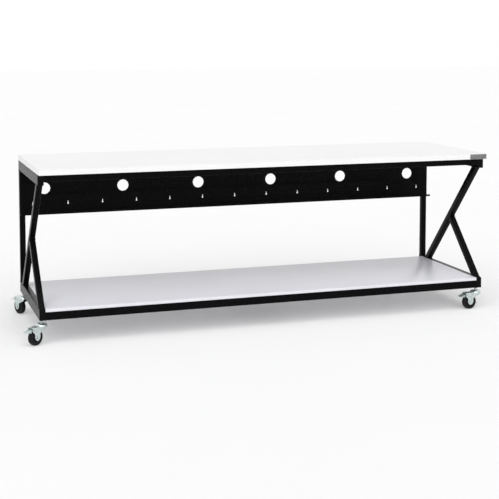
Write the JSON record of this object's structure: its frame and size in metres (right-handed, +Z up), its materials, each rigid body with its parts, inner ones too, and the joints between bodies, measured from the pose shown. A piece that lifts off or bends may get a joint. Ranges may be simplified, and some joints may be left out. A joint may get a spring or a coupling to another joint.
{
  "type": "assembly table",
  "caption": "Long mobile assembly table: pale laminate worktop and full lower shelf on black K-braced tube end frames, rear cable panel with holes, swivel casters with brakes.",
  "frame": {"origin": "on the floor under the middle of the overall box at rest, 25 mm behind the worktop's middle because the rear left caster points back", "axes": "+X along the table to the right as seen from the front, +Y to the cable panel at the back, +Z up"},
  "size_m": [2.599, 0.8154, 0.871],
  "materials": {
    "worktop_laminate": "white satin laminate on a board core, with white edge band",
    "shelf_laminate": "light grey satin laminate on a board core, with white edge band",
    "frame_coat": "black powder coat, fine satin texture",
    "plate_metal": "bare grey plate, lightly brushed",
    "zinc_steel": "bright zinc plate with a faint blue-green cast",
    "hub_plastic": "moulded black plastic",
    "tyre_rubber": "black rubber tread",
    "cap_plastic": "moulded black plastic end cap"
  },
  "bodies": {
    "table": {"worktop": "worktop_laminate", "nameplate": "plate_metal", "front_top_rail": "frame_coat", "rear_top_rail": "frame_coat", "front_foot_rail": "frame_coat", "rear_foot_rail": "frame_coat", "top_cross_bar": "frame_coat", "shelf_cross_bar": "frame_coat", "shelf_board": "shelf_laminate", "cable_panel": "frame_coat", "end_top_rail_left": "frame_coat", "end_foot_rail_left": "frame_coat", "rear_post_left": "frame_coat", "diagonal_left": "frame_coat", "strut_left": "frame_coat", "cap_top_front_left": "cap_plastic", "cap_top_rear_left": "cap_plastic", "cap_foot_front_left": "cap_plastic", "cap_foot_rear_left": "cap_plastic", "end_top_rail_right": "frame_coat", "end_foot_rail_right": "frame_coat", "rear_post_right": "frame_coat", "diagonal_right": "frame_coat", "strut_right": "frame_coat", "cap_top_front_right": "cap_plastic", "cap_top_rear_right": "cap_plastic", "cap_foot_front_right": "cap_plastic", "cap_foot_rear_right": "cap_plastic", "stem_front_left": "zinc_steel", "stem_front_right": "zinc_steel", "stem_rear_left": "zinc_steel", "stem_rear_right": "zinc_steel"},
    "fork_front_left": {"fork_front_left": "zinc_steel", "axle_front_left": "zinc_steel", "brake_pin_front_left": "zinc_steel"},
    "wheel_front_left": {"hub_front_left": "hub_plastic", "tyre_front_left": "tyre_rubber"},
    "pedal_front_left": {"brake_pedal_front_left": "zinc_steel"},
    "fork_front_right": {"fork_front_right": "zinc_steel", "axle_front_right": "zinc_steel", "brake_pin_front_right": "zinc_steel"},
    "wheel_front_right": {"hub_front_right": "hub_plastic", "tyre_front_right": "tyre_rubber"},
    "pedal_front_right": {"brake_pedal_front_right": "zinc_steel"},
    "fork_rear_left": {"fork_rear_left": "zinc_steel", "axle_rear_left": "zinc_steel", "brake_pin_rear_left": "zinc_steel"},
    "wheel_rear_left": {"hub_rear_left": "hub_plastic", "tyre_rear_left": "tyre_rubber"},
    "pedal_rear_left": {"brake_pedal_rear_left": "zinc_steel"},
    "fork_rear_right": {"fork_rear_right": "zinc_steel", "axle_rear_right": "zinc_steel", "brake_pin_rear_right": "zinc_steel"},
    "wheel_rear_right": {"hub_rear_right": "hub_plastic", "tyre_rear_right": "tyre_rubber"},
    "pedal_rear_right": {"brake_pedal_rear_right": "zinc_steel"}
  },
  "joints": [
    {"name": "swivel_front_left", "type": "hinge", "parent": "table", "child": "fork_front_left", "pos_m": [-1.204, -0.3242, 0.1], "axis": [0, 0, 1], "continuous": true},
    {"name": "wheel_spin_front_left", "type": "hinge", "parent": "fork_front_left", "child": "wheel_front_left", "pos_m": [-1.2384, -0.34829, 0.04], "axis": [0.5736, -0.8192, 0], "continuous": true},
    {"name": "brake_front_left", "type": "hinge", "parent": "fork_front_left", "child": "pedal_front_left", "pos_m": [-1.25643, -0.36091, 0.082], "axis": [0.5736, -0.8192, 0], "range_deg": [0, 10]},
    {"name": "swivel_front_right", "type": "hinge", "parent": "table", "child": "fork_front_right", "pos_m": [1.204, -0.3242, 0.1], "axis": [0, 0, 1], "continuous": true},
    {"name": "wheel_spin_front_right", "type": "hinge", "parent": "fork_front_right", "child": "wheel_front_right", "pos_m": [1.16223, -0.32859, 0.04], "axis": [0.1045, -0.9945, 0], "continuous": true},
    {"name": "brake_front_right", "type": "hinge", "parent": "fork_front_right", "child": "pedal_front_right", "pos_m": [1.14035, -0.33089, 0.082], "axis": [0.1045, -0.9945, 0], "range_deg": [0, 10]},
    {"name": "swivel_rear_left", "type": "hinge", "parent": "table", "child": "fork_rear_left", "pos_m": [-1.204, 0.3058, 0.1], "axis": [0, 0, 1], "continuous": true},
    {"name": "wheel_spin_rear_left", "type": "hinge", "parent": "fork_rear_left", "child": "wheel_rear_left", "pos_m": [-1.22175, 0.34386, 0.04], "axis": [-0.9063, -0.4226, 0], "continuous": true},
    {"name": "brake_rear_left", "type": "hinge", "parent": "fork_rear_left", "child": "pedal_rear_left", "pos_m": [-1.23105, 0.3638, 0.082], "axis": [-0.9063, -0.4226, 0], "range_deg": [0, 10]},
    {"name": "swivel_rear_right", "type": "hinge", "parent": "table", "child": "fork_rear_right", "pos_m": [1.204, 0.3058, 0.1], "axis": [0, 0, 1], "continuous": true},
    {"name": "wheel_spin_rear_right", "type": "hinge", "parent": "fork_rear_right", "child": "wheel_rear_right", "pos_m": [1.2384, 0.32989, 0.04], "axis": [-0.5736, 0.8192, 0], "continuous": true},
    {"name": "brake_rear_right", "type": "hinge", "parent": "fork_rear_right", "child": "pedal_rear_right", "pos_m": [1.25643, 0.34251, 0.082], "axis": [-0.5736, 0.8192, 0], "range_deg": [0, 10]}
  ]
}
